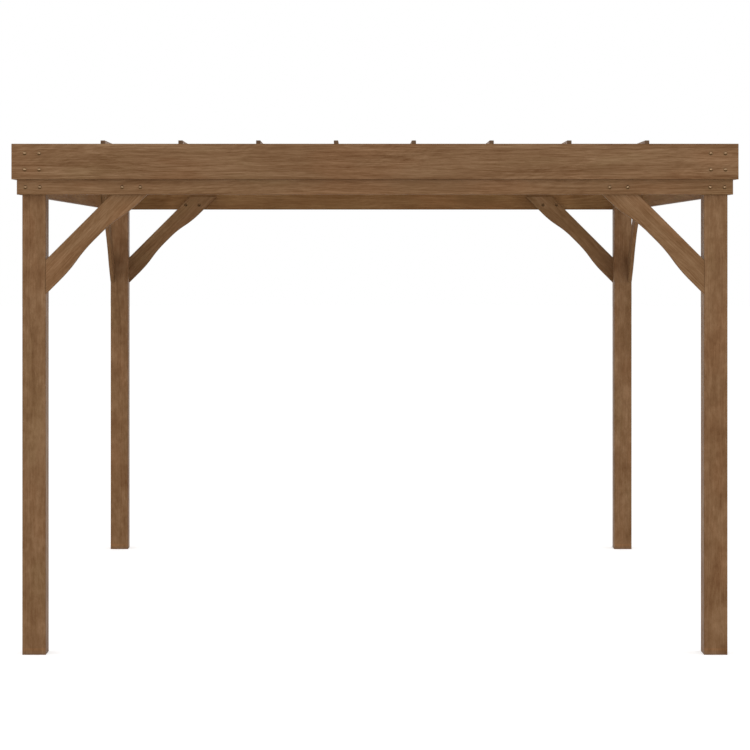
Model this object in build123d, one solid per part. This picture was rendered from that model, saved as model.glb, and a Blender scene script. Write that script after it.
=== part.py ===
from build123d import *
import os

os.makedirs("parts", exist_ok=True)

# Wooden pergola: four posts, a double board ring, eight thin rafters and eight knee braces.
# Millimetres, +Z up. The origin is on the ground at the middle of the plan.
# X runs along the front and Y from the front to the back, so the front faces -Y.

# Posts
plan_width = 3000.0
plan_depth = 3600.0
post_side = 100.0
post_arris = 4.0

# Inner ring of boards, fixed flat on the outer faces of the posts
ring_underside = 1957.0
ring_height = 195.0
ring_thickness = 20.0

# Outer ring of boards, which steps out and up over the inner ring
fascia_step_up = 64.0
fascia_height = 151.0
fascia_thickness = 20.0

# Rafters, on edge from front to back
rafter_count = 8
rafter_pitch = 330.0
rafter_thickness = 19.0
rafter_height = 120.0
rafter_rise = 15.0
lap_clearance = 0.5

# Knee braces, sawn from a board whose lower edge is cut to two S curves about a waist
brace_angle = 45.0
brace_thickness = 22.0
brace_heel_drop = 277.0
brace_overlap = 75.0
brace_heel_width = 103.0
brace_waist_width = 85.0
brace_head_width = 108.0
brace_waist_flat = 50.0
brace_waist_distance = 225.0
brace_curve_length = 215.0

# Easing of the long edges: rounded on boards and rafters, a small chamfer on the sawn braces
board_arris = 3.0
rafter_arris = 2.0
brace_arris = 2.5

# Levels and distances that follow from the sizes above
half_width = plan_width / 2
half_depth = plan_depth / 2
ring_top = ring_underside + ring_height
post_height = ring_top
fascia_underside = ring_underside + fascia_step_up
rafter_top = fascia_underside + fascia_height + rafter_rise
rafter_underside = rafter_top - rafter_height
lap_depth = (ring_top - rafter_underside) / 2
lap_level = ring_top - lap_depth
brace_heel_level = ring_underside - brace_heel_drop
brace_top = ring_underside + brace_overlap


def post(side_x, side_y):
    """A square post with rounded arrises, standing on the ground."""
    section = RectangleRounded(post_side, post_side, post_arris)
    centre_x = side_x * (half_width - post_side / 2)
    centre_y = side_y * (half_depth - post_side / 2)
    return Pos(centre_x, centre_y, 0) * extrude(section, post_height)


def board_along_x(length, thickness, height, arris):
    """A board on edge along X, centred on X and Y, with its underside at zero."""
    section = Plane.YZ * Pos(0, height / 2) * RectangleRounded(thickness, height, arris)
    return extrude(section, length / 2, both=True)


def board_along_y(length, thickness, height, arris):
    """The same board turned to run along Y."""
    return Rot(0, 0, 90) * board_along_x(length, thickness, height, arris)


def rafter_places():
    """The X of each rafter, evenly pitched about the middle of the plan."""
    first = -rafter_pitch * (rafter_count - 1) / 2
    return [first + rafter_pitch * place for place in range(rafter_count)]


def ring_board_across(side_y):
    """Front or back board of the inner ring, slotted from above for the rafters."""
    length = plan_width + 2 * ring_thickness
    board = board_along_x(length, ring_thickness, ring_height, board_arris)
    board = Pos(0, side_y * (half_depth + ring_thickness / 2), ring_underside) * board
    slot_width = rafter_thickness + 2 * lap_clearance
    slot = Box(slot_width, 2 * ring_thickness, lap_depth, align=(Align.CENTER, Align.CENTER, Align.MIN))
    slot_y = side_y * (half_depth + ring_thickness / 2)
    return board - [Pos(slot_x, slot_y, lap_level) * slot for slot_x in rafter_places()]


def ring_board_side(side_x):
    """Left or right board of the inner ring, held between the front and back boards."""
    board = board_along_y(plan_depth, ring_thickness, ring_height, board_arris)
    return Pos(side_x * (half_width + ring_thickness / 2), 0, ring_underside) * board


def fascia_across(side_y):
    """Front or back fascia, over the whole width of the pergola."""
    length = plan_width + 2 * (ring_thickness + fascia_thickness)
    board = board_along_x(length, fascia_thickness, fascia_height, board_arris)
    place_y = side_y * (half_depth + ring_thickness + fascia_thickness / 2)
    return Pos(0, place_y, fascia_underside) * board


def fascia_side(side_x):
    """Left or right fascia, held between the front and back fascias."""
    board = board_along_y(plan_depth + 2 * ring_thickness, fascia_thickness, fascia_height, board_arris)
    place_x = side_x * (half_width + ring_thickness + fascia_thickness / 2)
    return Pos(place_x, 0, fascia_underside) * board


def rafter(place_x):
    """A rafter whose notched ends drop into the slots of the inner ring and stop at the fascias."""
    length = plan_depth + 2 * ring_thickness
    blank = board_along_y(length, rafter_thickness, rafter_height, rafter_arris)
    blank = Pos(place_x, 0, rafter_underside) * blank
    notch_length = ring_thickness + lap_clearance
    notch = Box(2 * rafter_thickness, notch_length, lap_level - rafter_underside,
                align=(Align.CENTER, Align.MIN, Align.MIN))
    back_notch = Pos(place_x, half_depth - lap_clearance, rafter_underside) * notch
    front_notch = mirror(back_notch, Plane.XZ)
    return blank - back_notch - front_notch


def s_curve(start, end):
    """Two equal arcs that leave start and reach end along the board."""
    middle = ((start.X + end.X) / 2, (start.Y + end.Y) / 2)
    first = TangentArc(start, middle, tangent=(1, 0))
    return [first, TangentArc(first @ 1, end, tangent=first % 1)]


def brace_blank():
    """The shaped board along X, its straight upper edge at zero, with spare length at both ends."""
    near_waist = brace_waist_distance - brace_waist_flat / 2
    far_waist = brace_waist_distance + brace_waist_flat / 2
    near_start = near_waist - brace_curve_length
    far_end = far_waist + brace_curve_length
    tail = near_start - 2 * brace_heel_width
    tip = far_end + 3 * brace_head_width
    near_curve = s_curve(Vector(near_start, -brace_heel_width), Vector(near_waist, -brace_waist_width))
    far_curve = s_curve(Vector(far_waist, -brace_waist_width), Vector(far_end, -brace_head_width))
    straights = [
        Polyline((tip, -brace_head_width), (tip, 0), (tail, 0), (tail, -brace_heel_width), near_curve[0] @ 0),
        Line(near_curve[1] @ 1, far_curve[0] @ 0),
        Line(far_curve[1] @ 1, (tip, -brace_head_width)),
    ]
    return make_face(straights + near_curve + far_curve)


def brace():
    """A knee brace in the XZ plane, with a plumb cut at X zero and a level cut at its top."""
    tilted = Pos(0, brace_heel_level) * Rot(0, 0, brace_angle) * brace_blank()
    reach = brace_waist_distance + brace_waist_flat + brace_curve_length + 5 * brace_head_width
    kept = Pos(0, brace_top) * Rectangle(reach, reach, align=(Align.MIN, Align.MAX))
    solid = extrude(Plane.XZ * (tilted & kept), brace_thickness)
    face_edges = solid.edges().filter_by(Axis.Y, reverse=True)
    return chamfer([edge for edge in face_edges if edge.center().X > brace_arris], brace_arris)


def to_corner(solid, side_x, side_y):
    """A piece made for the front left corner, mirrored to the corner asked for."""
    if side_x > 0:
        solid = mirror(solid, Plane.YZ)
    if side_y > 0:
        solid = mirror(solid, Plane.XZ)
    return solid


def brace_across(solid, side_x, side_y):
    """The brace from a post to the front or back ring board, flush with the outer face of the post."""
    placed = Pos(-(half_width - post_side), -(half_depth - brace_thickness), 0) * solid
    return to_corner(placed, side_x, side_y)


def brace_side(solid, side_x, side_y):
    """The brace from a post to the left or right ring board, flush with the outer face of the post."""
    placed = Pos(-half_width, -(half_depth - post_side), 0) * Rot(0, 0, 90) * solid
    return to_corner(placed, side_x, side_y)


knee_brace = brace()
sides_x = {"left": -1, "right": 1}
sides_y = {"front": -1, "back": 1}

for name_y, side_y in sides_y.items():
    export_step(ring_board_across(side_y), f"parts/ring_board_{name_y}.step")
    export_step(fascia_across(side_y), f"parts/fascia_{name_y}.step")
    for name_x, side_x in sides_x.items():
        corner = f"{name_y}_{name_x}"
        export_step(post(side_x, side_y), f"parts/post_{corner}.step")
        export_step(brace_across(knee_brace, side_x, side_y), f"parts/knee_brace_{corner}_across.step")
        export_step(brace_side(knee_brace, side_x, side_y), f"parts/knee_brace_{corner}_side.step")

for name_x, side_x in sides_x.items():
    export_step(ring_board_side(side_x), f"parts/ring_board_{name_x}.step")
    export_step(fascia_side(side_x), f"parts/fascia_{name_x}.step")

for number, place_x in enumerate(rafter_places(), start=1):
    export_step(rafter(place_x), f"parts/rafter_{number}.step")
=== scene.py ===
import random
from math import asin, cos, pi, radians, sin

import bmesh
import bpy
from mathutils import Euler, Matrix, Vector


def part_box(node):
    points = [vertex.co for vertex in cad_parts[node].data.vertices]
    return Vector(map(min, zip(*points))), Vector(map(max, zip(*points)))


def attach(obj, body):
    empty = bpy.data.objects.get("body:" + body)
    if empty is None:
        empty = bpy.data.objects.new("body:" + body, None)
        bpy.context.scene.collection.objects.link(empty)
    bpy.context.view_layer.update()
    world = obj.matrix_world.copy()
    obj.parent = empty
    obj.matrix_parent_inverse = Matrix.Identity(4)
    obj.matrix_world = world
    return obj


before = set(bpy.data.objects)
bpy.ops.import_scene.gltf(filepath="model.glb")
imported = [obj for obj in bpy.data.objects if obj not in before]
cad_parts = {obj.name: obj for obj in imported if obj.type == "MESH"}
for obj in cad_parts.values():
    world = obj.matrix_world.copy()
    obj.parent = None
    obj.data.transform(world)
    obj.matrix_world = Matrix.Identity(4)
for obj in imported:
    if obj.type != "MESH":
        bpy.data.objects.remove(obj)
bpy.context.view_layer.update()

scene = bpy.context.scene

# Camera: upright, level, looking along +Y from in front, with the lens shifted as in the photograph
CAMERA_PLACE = (-0.0615, -11.6906, 1.720)
CAMERA_LENS_MM = 111.64
CAMERA_SENSOR_MM = 36.0
CAMERA_SHIFT = (0.0194, -0.1661)

# Light: even white surroundings, a distant lamp in front and a broad one on each side, in watts
WORLD_STRENGTH = 0.76
LIGHT_AIM = (0.0, 0.0, 1.2)
LAMPS = {
    "key": {"place": (0.0, -20.0, 4.1), "size": 2.0, "power": 535.0},
    "left": {"place": (-9.0, -3.0, 5.0), "size": 4.0, "power": 120.0},
    "right": {"place": (9.0, -3.0, 5.0), "size": 4.0, "power": 120.0},
}

# Floor: its own pale colour, and how much it is lifted towards white when seen directly and in gloss
FLOOR_RADIUS = 60.0
FLOOR_SEGMENTS = 96
FLOOR_ALBEDO = 0.85
FLOOR_LIFT_SEEN = 0.45
FLOOR_LIFT_GLOSS = 0.20

# How each kind of piece differs: shade, strength of the rings, the grain and the blotches, sheen and tint
TONE_SPREAD = 0.025
BRACE_TONES = {"front": -0.05, "back": -0.02}
TIMBER_KINDS = {
    "post": {"tone": 0.00, "figure": 0.12, "grain": 0.34, "mottle": 1.50, "sheen": 0.06,
             "tint": (1.00, 0.98, 0.95, 1)},
    "fascia": {"tone": 0.02, "figure": 0.16, "grain": 1.00, "mottle": 0.10, "sheen": 0.05,
               "tint": (1.00, 1.00, 1.00, 1)},
    "ring": {"tone": 0.05, "figure": 0.16, "grain": 0.85, "mottle": 0.10, "sheen": 0.05,
             "tint": (1.00, 0.99, 0.97, 1)},
    # Ring boards behind the front one: their browner tint is painted warm shade, the light bounced between
    # the boards
    "hind": {"tone": 0.01, "figure": 0.14, "grain": 0.75, "mottle": 0.10, "sheen": 0.03,
             "tint": (1.00, 0.94, 0.79, 1)},
    "knee": {"tone": 0.02, "figure": 0.14, "grain": 0.70, "mottle": 0.80, "sheen": 0.02,
             "tint": (1.00, 0.99, 0.97, 1)},
    # Rafters: paler and a little bluer than the other pieces, which is painted sheen along their sides
    "rafter": {"tone": -0.08, "figure": 0.16, "grain": 0.80, "mottle": 0.15, "sheen": 0.12,
               "tint": (1.00, 1.00, 1.03, 1)},
}

# Where the pieces are cut from their trunks, in metres: posts about the pith, all others beside it
TRUNK_LENGTH = 40
POST_OFF_PITH = 0.03
BOARD_OFF_PITH = (0.05, 0.10)
BOARD_OFF_CENTRE = 0.045

# Seed of those places, and the lean of the braces in degrees
WOOD_SEED = 41
BRACE_LEAN = 45

# Noises of the wood: cells a metre along the grain, cells a metre across it, detail and roughness
WOOD_NOISES = {
    "drift": (0.9, 2.5, 2.0, 0.50),
    "wave": (4.5, 11.0, 2.0, 0.50),
    "shiver": (16.0, 60.0, 2.0, 0.50),
    "band": (1.8, 38.0, 0.0, 0.50),
    "streak": (3.0, 100.0, 0.0, 0.50),
    "fibre": (10.0, 330.0, 2.0, 0.60),
    "hair": (26.0, 1500.0, 2.0, 0.60),
    "pore": (36.0, 950.0, 1.0, 0.50),
    "feather": (8.0, 90.0, 2.0, 0.50),
    "patch": (1.7, 8.0, 1.0, 0.50),
    "cloud": (2.2, 12.0, 3.0, 0.55),
    "mottle": (7.0, 13.0, 5.0, 0.78),
    "hue": (2.6, 9.0, 2.0, 0.50),
    # Noise that breaks up the painted shade along the arrises
    "arris_shade_break": (30.0, 60.0, 2.0, 0.50),
}

# The values between which a noise mostly lies
NOISE_REACH = (0.3, 0.7)

# How far, in metres, three of the noises bend the trunk
TRUNK_BENDS = {"drift": 0.060, "wave": 0.006, "shiver": 0.002}

# Growth rings: how close and how uneven they are, and the spans of a ring in which it darkens and ends
RINGS_PER_METRE = 150.0
RING_UNEVENNESS = 3.0
RING_CELLS = (60.0, 1.0, 1.0)
RING_DETAIL = 1.0
RING_DARKENS = (0.20, 0.85)
RING_ENDS = (1.00, 0.88)
FAINTEST_RING = 0.3

# Shade: what each noise counts for in the grain, and what clouds and pores add to the middle shade
GRAIN_SHARES = {"band": 0.46, "streak": 0.34, "fibre": 1.20, "hair": 0.70}
FEATHER_SHARE = 0.55
FEATHER_LEAN = (0.0, radians(18), radians(12))
FEATHER_PATCHES = (0.46, 0.60)
CLOUD_SHADE = 0.25
PORE_SPAN = (0.63, 0.74)
PORE_SHADE = 0.22
MIDDLE_SHADE = 0.40

# Colours of the wood from light early wood to dark late wood
LIGHT_WOOD = (0.310, 0.186, 0.100, 1)
MIDDLE_WOOD = (0.203, 0.108, 0.050, 1)
DARK_WOOD = (0.112, 0.047, 0.016, 1)

# Tints over the colour, and the values of hue, facing and noise between which each comes in
WARM_TINT = (1.025, 0.980, 0.960, 1)
WARM_SPAN = (0.52, 0.70)
COOL_TINT = (0.980, 1.010, 0.985, 1)
COOL_SPAN = (0.48, 0.30)
SAWN_TINT = (0.66, 0.73, 0.86, 1)
SAWN_SPAN = (0.75, 0.95)
# Painted shade along the arrises: its tint, and the range through which a noise lets it show
ARRIS_SHADE_TINT = (0.80, 0.77, 0.74, 1)
ARRIS_SHADE_RANGE = (0.4, 1.0)

# Tints along lower edges, and the heights over the edge, in metres, between which each comes in
FOOT_TINT = (0.93, 1.00, 1.16, 1)
FOOT_SPAN = (0.020, 0.000)
# A pale warm line over the greyed foot of each post: painted light bounced from the floor
FOOT_BOUNCE_LIGHT_TINT = (1.13, 1.06, 1.00, 1)
FOOT_LINE_BELOW = (0.018, 0.022)
FOOT_LINE_ABOVE = (0.030, 0.026)
# Darker lower edges of the ring boards behind the front one: painted shade
LOWER_EDGE_SHADE_TINT = (0.84, 0.80, 0.74, 1)
LOWER_EDGE_SHADE_SPAN = (0.009, 0.005)

# Roughness and relief of the wood
WOOD_ROUGHNESS = 0.40
SHADE_ROUGHNESS = 0.10
SAWN_ROUGHNESS = 0.25
RELIEF_SHARES = {"late": 0.35, "streak": 0.3, "fibre": 0.4, "hair": 0.3, "pore": -0.6}
WOOD_BUMP = {"Strength": 0.35, "Distance": 0.0008}

# Dull yellow metal of the bolts, and darker metal of the nuts that is partly painted shade: clean,
# tarnished and shaded, and painted shade in the rim
METAL_KINDS = {
    "bolt_metal": {"clean": (0.350, 0.225, 0.130, 1), "tarnished_and_shaded": (0.105, 0.058, 0.024, 1), "rim": 0.8},
    # The nuts' metal is a darker copy of the bolts': partly painted shade, for they sit on the inner faces
    "shaded_nut_metal": {"clean": (0.125, 0.069, 0.032, 1), "tarnished_and_shaded": (0.050, 0.025, 0.010, 1), "rim": 0.1},
}

# Facing and noise between which the painted shade of the rim and the underside, and the spots, of both
# metals come in
RIM_SHADE_SPAN = (0.96, 0.76)
UNDERSIDE_SHADE_SPAN = (0.12, -0.25)
SPOT_CELLS = (420.0, 420.0, 420.0)
SPOT_DETAIL = 3.0
SPOT_NOISE_ROUGHNESS = 0.6
SPOT_SPAN = (0.56, 0.72)
SPOT_DARKNESS = 0.6
SCRATCH_CELLS = (1500.0, 1500.0, 1500.0)
METAL_ROUGHNESS = (0.26, 0.45)
METAL_BUMP = {"Strength": 0.25, "Distance": 0.0002}

# Bolts with domed heads, and the domed sleeve nuts on the inner faces of the braces
HEAD_RADIUS = 0.0079
HEAD_HEIGHT = 0.0045
HEAD_RIM = 0.0009
HEAD_SUNK = 0.0003
HEAD_CREST_RADIUS = HEAD_RADIUS / 20
DOME_STEPS = 7
TURNED_SEGMENTS = 30
SHARP_ANGLE = radians(35)
SOCKET_RADIUS = 0.0025
SOCKET_LIP = 0.0004
SOCKET_DEPTH = 0.0026
WASHER_RADIUS = 0.0095
WASHER_HEIGHT = 0.0013
WASHER_CHAMFER = 0.0004

# Places of the bolts: from the edges of the boards, from the outside of a post and from its inside
FASCIA_BOLT_INSET = 0.041
RING_BOLT_RISE = 0.031
POST_BOLTS_FROM_OUTSIDE = (0.016, 0.0775)
BRACE_BOLTS_FROM_POST = (0.327, 0.404)

# The bolts of the two sides pass over the others in the posts, and the back ring's are a little lower
SIDE_BOLT_STAGGER = 0.012
BACK_BOLT_DROP = 0.005

# The sockets that a mix node uses for colours
MIX_FACTOR = 0
MIX_FIRST = 6
MIX_SECOND = 7
MIX_RESULT = 2


def named_box(node):
    """Lowest corner and highest corner of a node at rest, as vectors."""
    low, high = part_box(node)
    return Vector(low), Vector(high)


class Nodes:
    """Short calls for building one node tree."""

    def __init__(self, tree):
        self.tree = tree

    def add(self, kind, values=None, **settings):
        """A new node with its settings, and its inputs set or linked by name."""
        node = self.tree.nodes.new(kind)
        for name, value in settings.items():
            setattr(node, name, value)
        for name, value in (values or {}).items():
            self.put(node.inputs[name], value)
        return node

    def put(self, socket, value):
        """Links an output to a socket, or sets the socket to a plain value."""
        if isinstance(value, bpy.types.NodeSocket):
            self.tree.links.new(value, socket)
        else:
            socket.default_value = value

    def math(self, operation, first, second=0.0, clamp=False):
        node = self.add("ShaderNodeMath", operation=operation, use_clamp=clamp)
        self.put(node.inputs[0], first)
        self.put(node.inputs[1], second)
        return node.outputs[0]

    def vector(self, operation, first, second):
        node = self.add("ShaderNodeVectorMath", operation=operation)
        self.put(node.inputs[0], first)
        self.put(node.inputs[1], second)
        return node.outputs[0]

    def split(self, vector):
        """The outputs X, Y and Z of a vector."""
        return self.add("ShaderNodeSeparateXYZ", {"Vector": vector}).outputs

    def noise(self, place, stretch, detail=2.0, roughness=0.5, output="Fac"):
        """Noise of a place stretched along each axis, in cells a metre."""
        scaled = self.vector("MULTIPLY", place, stretch)
        values = {"Vector": scaled, "Scale": 1.0, "Detail": detail, "Roughness": roughness}
        return self.add("ShaderNodeTexNoise", values).outputs[output]

    def centred(self, value, amount):
        """A noise value moved to be about zero, times an amount."""
        return self.math("MULTIPLY", self.math("SUBTRACT", value, 0.5), amount)

    def span(self, value, low, high, to_low=0.0, to_high=1.0, smooth=True):
        """A value carried from the span low to high over to the span to_low to to_high, and held there."""
        kind = "SMOOTHSTEP" if smooth else "LINEAR"
        node = self.add("ShaderNodeMapRange", interpolation_type=kind)
        for name, item in (("Value", value), ("From Min", low), ("From Max", high),
                           ("To Min", to_low), ("To Max", to_high)):
            self.put(node.inputs[name], item)
        return node.outputs["Result"]

    def sum(self, first, *others):
        total = first
        for other in others:
            total = self.math("ADD", total, other)
        return total

    def tint(self, factor, color, tint):
        """A colour multiplied by a tint as far as the factor says."""
        node = self.add("ShaderNodeMix", data_type="RGBA", blend_type="MULTIPLY")
        self.put(node.inputs[MIX_FACTOR], factor)
        self.put(node.inputs[MIX_FIRST], color)
        self.put(node.inputs[MIX_SECOND], tint)
        return node.outputs[MIX_RESULT]


def wood_noise(n, place, name, output="Fac"):
    """One of the noises of the wood, at a place with the grain along X."""
    along, across, detail, roughness = WOOD_NOISES[name]
    return n.noise(place, (along, across, across), detail, roughness, output)


def bend(n, place, name):
    """How far one of the noises moves the trunk away from its pith at a place."""
    away = n.vector("SUBTRACT", wood_noise(n, place, name, "Color"), (0.5, 0.5, 0.5))
    return n.vector("MULTIPLY", away, (0.0, TRUNK_BENDS[name], TRUNK_BENDS[name]))


def late_wood(n, trunk):
    """Growth rings of uneven width and strength, each darkening slowly and ending sharply."""
    parts = n.split(trunk)
    across = n.add("ShaderNodeCombineXYZ", {"Y": parts["Y"], "Z": parts["Z"]})
    length = n.add("ShaderNodeVectorMath", operation="LENGTH")
    n.put(length.inputs[0], across.outputs[0])
    radius = length.outputs["Value"]
    radius_place = n.add("ShaderNodeCombineXYZ", {"X": radius}).outputs[0]
    uneven = n.math("MULTIPLY", n.noise(radius_place, RING_CELLS, RING_DETAIL), RING_UNEVENNESS)
    ring = n.math("ADD", n.math("MULTIPLY", radius, RINGS_PER_METRE), uneven)
    phase = n.math("FRACT", ring)
    strength = n.add("ShaderNodeTexWhiteNoise", noise_dimensions="1D")
    n.put(strength.inputs["W"], n.math("FLOOR", ring))
    late = n.math("MULTIPLY", n.span(phase, *RING_DARKENS), n.span(phase, *RING_ENDS))
    faded = n.span(strength.outputs["Value"], 0.0, 1.0, FAINTEST_RING, 1.0, smooth=False)
    return n.math("MULTIPLY", late, faded)


def feathering(n, place, trunk):
    """Grain that leans away from the rest, in patches."""
    leaning = n.add("ShaderNodeMapping", {"Vector": trunk}, vector_type="POINT")
    leaning.inputs["Rotation"].default_value = FEATHER_LEAN
    patch = n.span(wood_noise(n, place, "patch"), *FEATHER_PATCHES)
    feather = wood_noise(n, leaning.outputs[0], "feather")
    return n.math("MULTIPLY", n.centred(feather, FEATHER_SHARE), patch)


def shade_color(n, shade):
    """The colour of the wood for a shade from light to dark."""
    ramp = n.add("ShaderNodeValToRGB", {"Fac": shade})
    stops = ramp.color_ramp.elements
    stops[0].position = 0.0
    stops[0].color = LIGHT_WOOD
    stops[1].position = 1.0
    stops[1].color = DARK_WOOD
    stops.new(0.5).color = MIDDLE_WOOD
    return ramp.outputs["Color"]


def painted_arris_shade(n, place, broad):
    """Painted shade along the arrises, broken up by a noise. Broad is 1 or -1 on the broad faces of a
    board and 0 on its edges.
    """
    # Flat times its rest is greatest half way round an arris, where four times it is 1
    flat = n.math("POWER", broad, 2.0)
    arris = n.math("MULTIPLY", n.math("MULTIPLY", flat, n.math("SUBTRACT", 1.0, flat)), 4.0, clamp=True)
    return n.math("MULTIPLY", arris, n.span(wood_noise(n, place, "arris_shade_break"), *NOISE_REACH, *ARRIS_SHADE_RANGE))


def timber_group():
    """Solid wood in metres: the grain runs along X, the pith is the X axis and Y is the thickness."""
    group = bpy.data.node_groups.new("timber", "ShaderNodeTree")
    for way, kind, names in (("INPUT", "Vector", ("Place", "Facing")),
                             ("INPUT", "Float", ("Tone", "Figure", "Grain", "Mottle")),
                             ("OUTPUT", "Color", ("Color",)),
                             ("OUTPUT", "Float", ("Roughness", "Height"))):
        for name in names:
            group.interface.new_socket(name, in_out=way, socket_type="NodeSocket" + kind)
    n = Nodes(group)
    entry = n.add("NodeGroupInput").outputs
    place = entry["Place"]

    # The trunk wanders about its pith along the board, which draws the flame figure
    drift, wave, shiver = (bend(n, place, name) for name in TRUNK_BENDS)
    trunk = n.vector("ADD", n.vector("ADD", place, drift), n.vector("ADD", wave, shiver))
    late = late_wood(n, trunk)

    # Bands, streaks, fibres and hairs along the grain, feathered patches, pores and slow clouds
    layers = {name: wood_noise(n, trunk, name) for name in GRAIN_SHARES}
    parts = [n.centred(layers[name], share) for name, share in GRAIN_SHARES.items()]
    grain = n.sum(*parts, feathering(n, place, trunk))
    pore = n.span(wood_noise(n, trunk, "pore"), *PORE_SPAN)
    cloud = wood_noise(n, place, "cloud")
    mottle = wood_noise(n, place, "mottle")

    # Shade from light early wood to dark late wood
    shade = n.sum(n.math("MULTIPLY", late, entry["Figure"]), n.math("MULTIPLY", grain, entry["Grain"]),
                  n.centred(cloud, CLOUD_SHADE), n.centred(mottle, entry["Mottle"]),
                  n.math("MULTIPLY", pore, PORE_SHADE), entry["Tone"])
    shade = n.math("ADD", shade, MIDDLE_SHADE, clamp=True)
    color = shade_color(n, shade)

    # Slow changes of hue, darker sawn ends, and painted shade along the arrises
    hue = wood_noise(n, place, "hue")
    color = n.tint(n.span(hue, *WARM_SPAN), color, WARM_TINT)
    color = n.tint(n.span(hue, *COOL_SPAN), color, COOL_TINT)
    facing = n.split(entry["Facing"])
    sawn = n.span(n.math("ABSOLUTE", facing["X"]), *SAWN_SPAN)
    color = n.tint(sawn, color, SAWN_TINT)
    # Painted shade along the arrises, broken up by a noise
    color = n.tint(painted_arris_shade(n, place, facing["Y"]), color, ARRIS_SHADE_TINT)

    rough = n.sum(n.math("MULTIPLY", shade, SHADE_ROUGHNESS), n.math("MULTIPLY", sawn, SAWN_ROUGHNESS),
                  WOOD_ROUGHNESS)
    layers.update(late=late, pore=pore)
    height = n.sum(*(n.math("MULTIPLY", layers[name], share) for name, share in RELIEF_SHARES.items()))
    n.add("NodeGroupOutput", {"Color": color, "Roughness": rough, "Height": height})
    return group


TIMBER = timber_group()


def new_material(name):
    """An empty node material and the short calls that fill it."""
    material = bpy.data.materials.new(name)
    material.use_nodes = True
    material.node_tree.nodes.clear()
    return material, Nodes(material.node_tree)


def kind_of(node):
    """The kind of timber of a node. The ring boards behind the front one are tinted a little browner, as
    painted warm shade.
    """
    if node.startswith("ring") and not node.endswith("front"):
        return TIMBER_KINDS["hind"]
    return TIMBER_KINDS[node.split("_")[0]]


def lower_edge(n, color, node, place):
    """Greyed feet with a pale line of painted bounced light over them, and painted shade along the lower
    edges of the ring boards behind.
    """
    above = n.math("SUBTRACT", n.split(place)["Z"], named_box(node)[0].z)
    if node.startswith("post"):
        color = n.tint(n.span(above, *FOOT_SPAN), color, FOOT_TINT)
        # A pale line of painted light bounced from the floor
        line = n.math("MULTIPLY", n.span(above, *FOOT_LINE_BELOW), n.span(above, *FOOT_LINE_ABOVE))
        return n.tint(line, color, FOOT_BOUNCE_LIGHT_TINT)
    if kind_of(node) is TIMBER_KINDS["hind"]:
        # Painted shade along the lower edge
        return n.tint(n.span(above, *LOWER_EDGE_SHADE_SPAN), color, LOWER_EDGE_SHADE_TINT)
    return color


def timber_material(node, turn, location, tone):
    """Timber for one piece: turn brings its grain to X, and location moves it beside the pith."""
    kind = kind_of(node)
    material, n = new_material("timber_" + node)
    coordinates = n.add("ShaderNodeTexCoord")
    mapping = n.add("ShaderNodeMapping", {"Vector": coordinates.outputs["Object"]}, vector_type="POINT")
    mapping.inputs["Rotation"].default_value = turn
    mapping.inputs["Location"].default_value = location
    facing = n.add("ShaderNodeVectorRotate", {"Vector": coordinates.outputs["Normal"]},
                   rotation_type="EULER_XYZ")
    facing.inputs["Rotation"].default_value = turn
    wood = n.add("ShaderNodeGroup", node_tree=TIMBER)
    n.put(wood.inputs["Place"], mapping.outputs[0])
    n.put(wood.inputs["Facing"], facing.outputs[0])
    wood.inputs["Tone"].default_value = kind["tone"] + tone
    wood.inputs["Figure"].default_value = kind["figure"]
    wood.inputs["Grain"].default_value = kind["grain"]
    wood.inputs["Mottle"].default_value = kind["mottle"]
    color = n.tint(1.0, wood.outputs["Color"], kind["tint"])
    color = lower_edge(n, color, node, coordinates.outputs["Object"])
    bump = n.add("ShaderNodeBump", {"Height": wood.outputs["Height"], **WOOD_BUMP})
    shader = n.add("ShaderNodeBsdfPrincipled")
    n.put(shader.inputs["Base Color"], color)
    n.put(shader.inputs["Roughness"], wood.outputs["Roughness"])
    n.put(shader.inputs["Normal"], bump.outputs[0])
    shader.inputs["Specular IOR Level"].default_value = kind["sheen"]
    n.add("ShaderNodeOutputMaterial", {"Surface": shader.outputs[0]})
    return material


def assign(node, material):
    """Gives a node its material."""
    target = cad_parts[node]
    if not target.material_slots:
        target.data.materials.append(material)
    for slot in target.material_slots:
        slot.material = material


def turn_for(node, middle):
    """The rotation that brings the grain of a node to X and its thickness to Y."""
    if node.startswith("post"):
        return Euler((0, radians(90), 0))
    if node.startswith("rafter") or node.split("_")[-1] in ("left", "right"):
        return Euler((0, 0, radians(-90)))
    if node.endswith("across"):
        return Euler((0, radians(BRACE_LEAN if middle.x < 0 else 180 - BRACE_LEAN), 0))
    if node.endswith("side"):
        yaw = Euler((0, 0, radians(-90 if middle.y < 0 else 90))).to_matrix()
        pitch = Euler((0, radians(BRACE_LEAN), 0)).to_matrix()
        return (pitch @ yaw).to_euler()
    return Euler((0, 0, 0))


def dress_timber():
    """One material for each piece, so that no two show the same grain."""
    draw = random.Random(WOOD_SEED)
    for node in sorted(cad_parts):
        low, high = named_box(node)
        middle = (low + high) / 2
        turn = turn_for(node, middle)
        if node.startswith("post"):
            beside_pith = (draw.uniform(-POST_OFF_PITH, POST_OFF_PITH),
                           draw.uniform(-POST_OFF_PITH, POST_OFF_PITH))
        else:
            beside_pith = (draw.choice((-1, 1)) * draw.uniform(*BOARD_OFF_PITH),
                           draw.uniform(-BOARD_OFF_CENTRE, BOARD_OFF_CENTRE))
        offset = Vector((draw.uniform(0, TRUNK_LENGTH), *beside_pith))
        location = offset - turn.to_matrix() @ middle
        tone = draw.uniform(-TONE_SPREAD, TONE_SPREAD)
        if node.startswith("knee_brace"):
            tone += BRACE_TONES["back" if middle.y > 0 else "front"]
        assign(node, timber_material(node, turn, location, tone))


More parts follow.
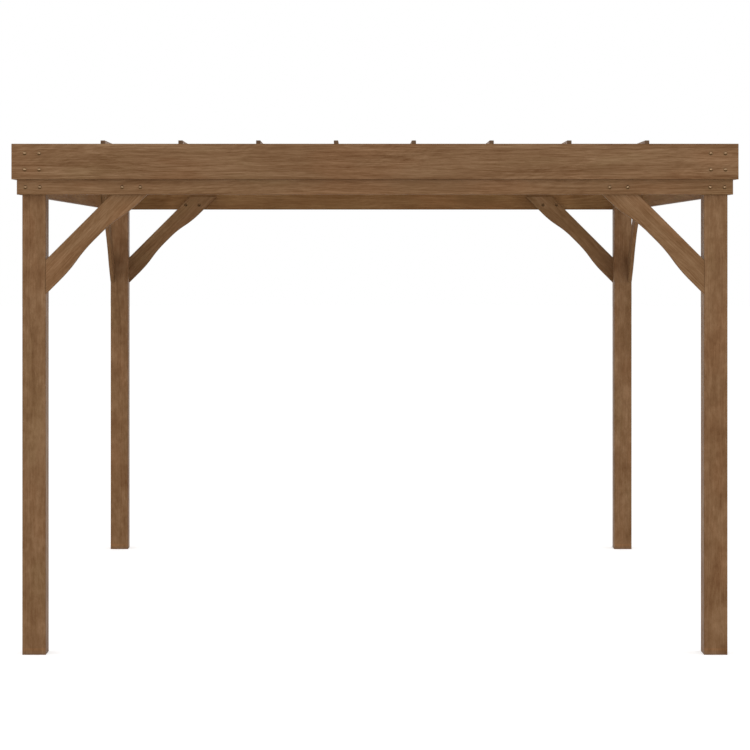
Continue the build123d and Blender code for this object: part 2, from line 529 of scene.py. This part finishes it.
def metal_material(name):
    """Plated steel, with painted shade in the rim and on the underside of each dome, and darker in small
    spots.
    """
    kind = METAL_KINDS[name]
    material, n = new_material(name)
    coordinates = n.add("ShaderNodeTexCoord")
    place = coordinates.outputs["Object"]
    facing = n.split(coordinates.outputs["Normal"])
    crown = n.math("MAXIMUM", n.math("ABSOLUTE", facing["X"]), n.math("ABSOLUTE", facing["Y"]))
    # Painted shade and painted dark reflection in the rim of each dome, and painted shade on its underside
    rim = n.span(crown, *RIM_SHADE_SPAN, 0.0, kind["rim"])
    painted_underside_shade = n.span(facing["Z"], *UNDERSIDE_SHADE_SPAN)
    spots = n.noise(place, SPOT_CELLS, SPOT_DETAIL, SPOT_NOISE_ROUGHNESS)
    spotted = n.span(spots, *SPOT_SPAN, 0.0, SPOT_DARKNESS)
    # The spots are tarnish; the rim and the underside are painted shade
    tarnish_and_shade = n.math("MAXIMUM", rim, n.math("MAXIMUM", painted_underside_shade, spotted))
    ramp = n.add("ShaderNodeValToRGB", {"Fac": tarnish_and_shade})
    ramp.color_ramp.elements[0].color = kind["clean"]
    ramp.color_ramp.elements[1].color = kind["tarnished_and_shaded"]
    scratch = n.noise(place, SCRATCH_CELLS)
    bump = n.add("ShaderNodeBump", {"Height": n.math("ADD", scratch, spots), **METAL_BUMP})
    shader = n.add("ShaderNodeBsdfPrincipled", {"Metallic": 1.0})
    n.put(shader.inputs["Base Color"], ramp.outputs["Color"])
    n.put(shader.inputs["Roughness"], n.span(spots, *NOISE_REACH, *METAL_ROUGHNESS))
    n.put(shader.inputs["Normal"], bump.outputs[0])
    n.add("ShaderNodeOutputMaterial", {"Surface": shader.outputs[0]})
    return material


HEAD_METAL = metal_material("bolt_metal")
# The nuts' darker metal is partly painted shade
SHADED_NUT_METAL = metal_material("shaded_nut_metal")


def round_ring(radius, angle):
    """Distance from the axis to a circle, which is the same at each angle."""
    return radius


def hexagon_ring(radius, angle):
    """Distance from the axis to the side of a hexagon whose flats are at the radius."""
    sixth = pi / 3
    return radius / cos(angle % sixth - sixth / 2)


def add_turned(shape, rings, place):
    """Adds a closed form about an axis, through rings of (radius, height, outline) from its base up."""
    previous = None
    for radius, height, outline in rings:
        ring = []
        for step in range(TURNED_SEGMENTS):
            angle = 2 * pi * step / TURNED_SEGMENTS
            reach = outline(radius, angle)
            ring.append(shape.verts.new(place @ Vector((reach * cos(angle), reach * sin(angle), height))))
        if previous is None:
            shape.faces.new(reversed(ring))
        else:
            for step in range(TURNED_SEGMENTS):
                after = (step + 1) % TURNED_SEGMENTS
                shape.faces.new((previous[step], previous[after], ring[after], ring[step]))
        previous = ring
    shape.faces.new(previous)


def dome_rings(base, smallest):
    """A short upright rim and a shallow dome over it, up to the smallest radius."""
    rise = HEAD_HEIGHT - HEAD_RIM
    ball = (HEAD_RADIUS ** 2 + rise ** 2) / (2 * rise)
    widest = asin(HEAD_RADIUS / ball)
    narrowest = asin(smallest / ball)
    rings = [(HEAD_RADIUS, base, round_ring)]
    for step in range(DOME_STEPS + 1):
        angle = widest + (narrowest - widest) * step / DOME_STEPS
        height = base + HEAD_HEIGHT - ball * (1 - cos(angle))
        rings.append((ball * sin(angle), height, round_ring))
    return rings


def add_head(shape, place):
    """The domed head of a bolt, its base a little inside the wood."""
    rings = dome_rings(0.0, HEAD_CREST_RADIUS)
    rings[0] = (HEAD_RADIUS, -HEAD_SUNK, round_ring)
    add_turned(shape, rings, place)


def add_nut(shape, place):
    """A domed sleeve nut with a hexagon socket, on a chamfered washer."""
    washer = [
        (WASHER_RADIUS, -HEAD_SUNK, round_ring),
        (WASHER_RADIUS, WASHER_HEIGHT - WASHER_CHAMFER, round_ring),
        (WASHER_RADIUS - WASHER_CHAMFER, WASHER_HEIGHT, round_ring),
    ]
    add_turned(shape, washer, place)
    rings = dome_rings(WASHER_HEIGHT, SOCKET_RADIUS + 2 * SOCKET_LIP)
    crest = rings[-1][1]
    rings.append((SOCKET_RADIUS, crest - SOCKET_LIP, hexagon_ring))
    rings.append((SOCKET_RADIUS, crest - SOCKET_DEPTH, hexagon_ring))
    add_turned(shape, rings, place)


def build_metal(name, add_one, places, metal):
    """One piece made of many like fixings, riding on the frame."""
    shape = bmesh.new()
    for place in places:
        add_one(shape, place)
    for face in shape.faces:
        face.smooth = True
    mesh = bpy.data.meshes.new(name)
    shape.to_mesh(mesh)
    shape.free()
    mesh.set_sharp_from_angle(angle=SHARP_ANGLE)
    mesh.materials.append(metal)
    piece = bpy.data.objects.new(name, mesh)
    scene.collection.objects.link(piece)
    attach(piece, "root")


def facing_place(point, outward):
    """The place of a fixing at a point, with its axis along the outward direction."""
    return Matrix.Translation(point) @ outward.to_track_quat("Z", "X").to_matrix().to_4x4()


def build_fixings(side):
    """The heads on the outer faces of one side, and the nuts on the inner faces of its braces."""
    # The side faces along one axis, outward by way, and its boards run along the other axis
    axis = 1 if side in ("front", "back") else 0
    way = -1 if side in ("front", "left") else 1
    along = 1 - axis
    stagger = SIDE_BOLT_STAGGER if axis == 0 else 0.0
    outward = Vector((0, 0, 0))
    outward[axis] = way
    fascia_low, fascia_high = named_box("fascia_" + side)
    ring_low, ring_high = named_box("ring_board_" + side)
    fascia_face = (fascia_high if way > 0 else fascia_low)[axis]
    ring_face = (ring_high if way > 0 else ring_low)[axis]

    # The posts and braces of the back right corner stand for those of the other corners
    post_low, post_high = named_box("post_back_right")
    post_outside = post_high[along]
    post_inside = post_low[along]
    brace = "knee_brace_back_right_" + ("across" if axis == 1 else "side")
    brace_face = named_box(brace)[0][axis]

    def at(distance, face, level):
        """A point on an upright face, at a distance along it and a level."""
        point = Vector((0, 0, level))
        point[along] = distance
        point[axis] = face
        return point

    fascia_rows = (fascia_low.z + FASCIA_BOLT_INSET, fascia_high.z - FASCIA_BOLT_INSET)
    ring_row = ring_low.z + RING_BOLT_RISE + stagger
    if side == "back":
        ring_row -= BACK_BOLT_DROP
    heads = []
    nuts = []
    for end in (-1, 1):
        for inset in POST_BOLTS_FROM_OUTSIDE:
            distance = end * (post_outside - inset)
            for row in fascia_rows:
                heads.append(facing_place(at(distance, fascia_face, row + stagger), outward))
            heads.append(facing_place(at(distance, ring_face, ring_row), outward))
        for reach in BRACE_BOLTS_FROM_POST:
            distance = end * (post_inside - reach)
            heads.append(facing_place(at(distance, ring_face, ring_row), outward))
            nuts.append(facing_place(at(distance, way * brace_face, ring_row), -outward))
    build_metal("bolt_heads_" + side, add_head, heads, HEAD_METAL)
    build_metal("brace_nuts_" + side, add_nut, nuts, SHADED_NUT_METAL)


def stage_material(name):
    """Pale floor that is white where it is seen directly, and still takes the object's shadow."""
    material, n = new_material(name)
    path = n.add("ShaderNodeLightPath").outputs
    gloss = n.math("MAXIMUM", path["Is Glossy Ray"], path["Is Transmission Ray"])
    lift = n.math("ADD", n.math("MULTIPLY", path["Is Camera Ray"], FLOOR_LIFT_SEEN),
                  n.math("MULTIPLY", gloss, FLOOR_LIFT_GLOSS))
    diffuse = n.add("ShaderNodeBsdfDiffuse")
    diffuse.inputs["Color"].default_value = (FLOOR_ALBEDO, FLOOR_ALBEDO, FLOOR_ALBEDO, 1)
    glow = n.add("ShaderNodeEmission", {"Strength": lift})
    both = n.add("ShaderNodeAddShader")
    n.put(both.inputs[0], diffuse.outputs[0])
    n.put(both.inputs[1], glow.outputs[0])
    n.add("ShaderNodeOutputMaterial", {"Surface": both.outputs[0]})
    return material


def build_floor():
    """A wide round floor at ground level."""
    shape = bmesh.new()
    bmesh.ops.create_circle(shape, cap_ends=True, segments=FLOOR_SEGMENTS, radius=FLOOR_RADIUS)
    mesh = bpy.data.meshes.new("floor")
    shape.to_mesh(mesh)
    shape.free()
    mesh.materials.append(stage_material("floor_white"))
    floor = bpy.data.objects.new("floor", mesh)
    scene.collection.objects.link(floor)


def build_world():
    """Even white surroundings: a plain light on the object, and pure white to the camera and in gloss."""
    world = bpy.data.worlds.new("surroundings")
    scene.world = world
    world.use_nodes = True
    world.node_tree.nodes.clear()
    n = Nodes(world.node_tree)
    path = n.add("ShaderNodeLightPath").outputs
    seen = n.math("MAXIMUM", path["Is Camera Ray"], path["Is Glossy Ray"])
    seen = n.math("MAXIMUM", seen, path["Is Transmission Ray"])
    background = n.add("ShaderNodeBackground")
    background.inputs["Color"].default_value = (1, 1, 1, 1)
    n.put(background.inputs["Strength"], n.span(seen, 0.0, 1.0, WORLD_STRENGTH, 1.0, smooth=False))
    n.add("ShaderNodeOutputWorld", {"Surface": background.outputs[0]})


def area_light(name, place, size, power):
    """A broad soft lamp aimed at the middle of the object."""
    data = bpy.data.lights.new(name, "AREA")
    data.energy = power
    data.size = size
    light = bpy.data.objects.new(name, data)
    light.location = place
    light.rotation_euler = (Vector(LIGHT_AIM) - Vector(place)).to_track_quat("-Z", "Y").to_euler()
    scene.collection.objects.link(light)


def build_camera():
    """The camera at the photograph's viewing angle."""
    data = bpy.data.cameras.new("camera")
    data.lens = CAMERA_LENS_MM
    data.sensor_width = CAMERA_SENSOR_MM
    data.shift_x, data.shift_y = CAMERA_SHIFT
    camera = bpy.data.objects.new("camera", data)
    camera.location = CAMERA_PLACE
    camera.rotation_euler = (radians(90), 0, 0)
    scene.collection.objects.link(camera)
    scene.camera = camera


dress_timber()
for side in ("front", "back", "left", "right"):
    build_fixings(side)
build_floor()
build_world()
for name, lamp in LAMPS.items():
    area_light(name, **lamp)
build_camera()
scene.view_settings.view_transform = "Standard"
